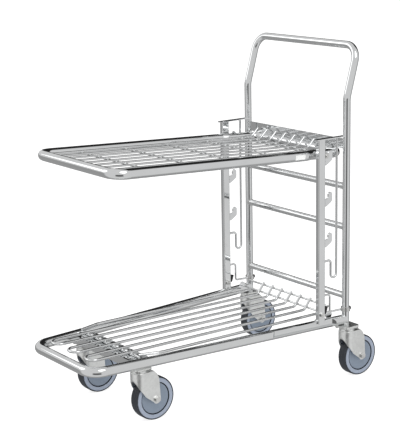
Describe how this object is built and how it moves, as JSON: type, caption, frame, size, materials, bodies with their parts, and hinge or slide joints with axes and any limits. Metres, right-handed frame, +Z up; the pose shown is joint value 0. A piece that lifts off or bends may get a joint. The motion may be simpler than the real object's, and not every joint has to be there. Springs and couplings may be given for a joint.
{
  "type": "nestable platform trolley",
  "caption": "Nestable push trolley with a tapered wire deck on swivel casters, a tall tube handle and a fold-up wire shelf hung on hooks.",
  "frame": {"origin": "on the floor, at the middle of the trolley's box", "axes": "+Z up, +Y towards the handle, -Y the push direction, +X the left side"},
  "size_m": [0.5324, 0.9654, 1.002],
  "materials": {
    "bright_steel": "bright zinc or nickel plated steel, clear lacquer",
    "zinc": "zinc plated pressed steel",
    "fasteners": "zinc plated bolts and pins",
    "wheel_core": "grey blue moulded nylon",
    "tread": "dark rubber, fine moulded texture",
    "black_plastic": "moulded black plastic"
  },
  "bodies": {
    "frame": {"base_tube": "bright_steel", "brace_wires": "bright_steel", "caster_bolts": "fasteners", "caster_plates": "zinc", "cross_bar_lower": "bright_steel", "cross_bar_middle": "bright_steel", "cross_bar_upper": "bright_steel", "deck_pivot_saddles": "bright_steel", "foot_bolts": "fasteners", "foot_clips": "black_plastic", "front_cross_member": "bright_steel", "guide_wire_left": "bright_steel", "guide_wire_right": "bright_steel", "handle_frame": "bright_steel", "king_pins": "fasteners", "post_caps": "black_plastic", "post_collars": "fasteners", "rear_mount_plates": "zinc", "rear_stop_plate": "bright_steel", "shelf_hooks_left": "bright_steel", "shelf_hooks_right": "bright_steel", "top_strips": "bright_steel", "upright_left": "bright_steel", "upright_right": "bright_steel"},
    "shelf": {"pin_washers": "fasteners", "shelf_cross_wires": "bright_steel", "shelf_frame": "bright_steel", "shelf_long_wires": "bright_steel", "shelf_pins": "fasteners"},
    "deck": {"deck_guide_discs": "bright_steel", "deck_hairpins": "bright_steel", "deck_lower_wire": "bright_steel", "deck_outer_wires": "bright_steel", "deck_pivot_rod": "bright_steel", "deck_upper_wire": "bright_steel"},
    "fork_front_left": {"axle_bolt_front_left": "fasteners", "fork_front_left": "zinc", "swivel_race_front_left": "zinc"},
    "wheel_front_left": {"tread_front_left": "tread", "wheel_bearing_front_left": "fasteners", "wheel_core_front_left": "wheel_core"},
    "fork_front_right": {"axle_bolt_front_right": "fasteners", "fork_front_right": "zinc", "swivel_race_front_right": "zinc"},
    "wheel_front_right": {"tread_front_right": "tread", "wheel_bearing_front_right": "fasteners", "wheel_core_front_right": "wheel_core"},
    "fork_rear_left": {"axle_bolt_rear_left": "fasteners", "fork_rear_left": "zinc", "swivel_race_rear_left": "zinc"},
    "wheel_rear_left": {"tread_rear_left": "tread", "wheel_bearing_rear_left": "fasteners", "wheel_core_rear_left": "wheel_core"},
    "fork_rear_right": {"axle_bolt_rear_right": "fasteners", "fork_rear_right": "zinc", "swivel_race_rear_right": "zinc"},
    "wheel_rear_right": {"tread_rear_right": "tread", "wheel_bearing_rear_right": "fasteners", "wheel_core_rear_right": "wheel_core"}
  },
  "joints": [
    {"name": "swivel_front_left", "type": "hinge", "parent": "frame", "child": "fork_front_left", "pos_m": [0.141, -0.30875, 0.15], "axis": [0, 0, 1], "continuous": true},
    {"name": "roll_front_left", "type": "hinge", "parent": "fork_front_left", "child": "wheel_front_left", "pos_m": [0.141, -0.26675, 0.0625], "axis": [1, 0, 0], "continuous": true},
    {"name": "swivel_front_right", "type": "hinge", "parent": "frame", "child": "fork_front_right", "pos_m": [-0.141, -0.30875, 0.15], "axis": [0, 0, 1], "continuous": true},
    {"name": "roll_front_right", "type": "hinge", "parent": "fork_front_right", "child": "wheel_front_right", "pos_m": [-0.141, -0.26675, 0.0625], "axis": [1, 0, 0], "continuous": true},
    {"name": "swivel_rear_left", "type": "hinge", "parent": "frame", "child": "fork_rear_left", "pos_m": [0.2365, 0.37825, 0.15], "axis": [0, 0, 1], "continuous": true},
    {"name": "roll_rear_left", "type": "hinge", "parent": "fork_rear_left", "child": "wheel_rear_left", "pos_m": [0.2365, 0.42025, 0.0625], "axis": [1, 0, 0], "continuous": true},
    {"name": "swivel_rear_right", "type": "hinge", "parent": "frame", "child": "fork_rear_right", "pos_m": [-0.2365, 0.37825, 0.15], "axis": [0, 0, 1], "continuous": true},
    {"name": "roll_rear_right", "type": "hinge", "parent": "fork_rear_right", "child": "wheel_rear_right", "pos_m": [-0.2365, 0.42025, 0.0625], "axis": [1, 0, 0], "continuous": true},
    {"name": "shelf_fold", "type": "hinge", "parent": "frame", "child": "shelf", "pos_m": [0, 0.30275, 0.6838], "axis": [-1, 0, 0], "range_deg": [0, 100]},
    {"name": "deck_lift", "type": "hinge", "parent": "frame", "child": "deck", "pos_m": [0, -0.30875, 0.1884], "axis": [1, 0, 0], "range_deg": [0, 4]}
  ]
}
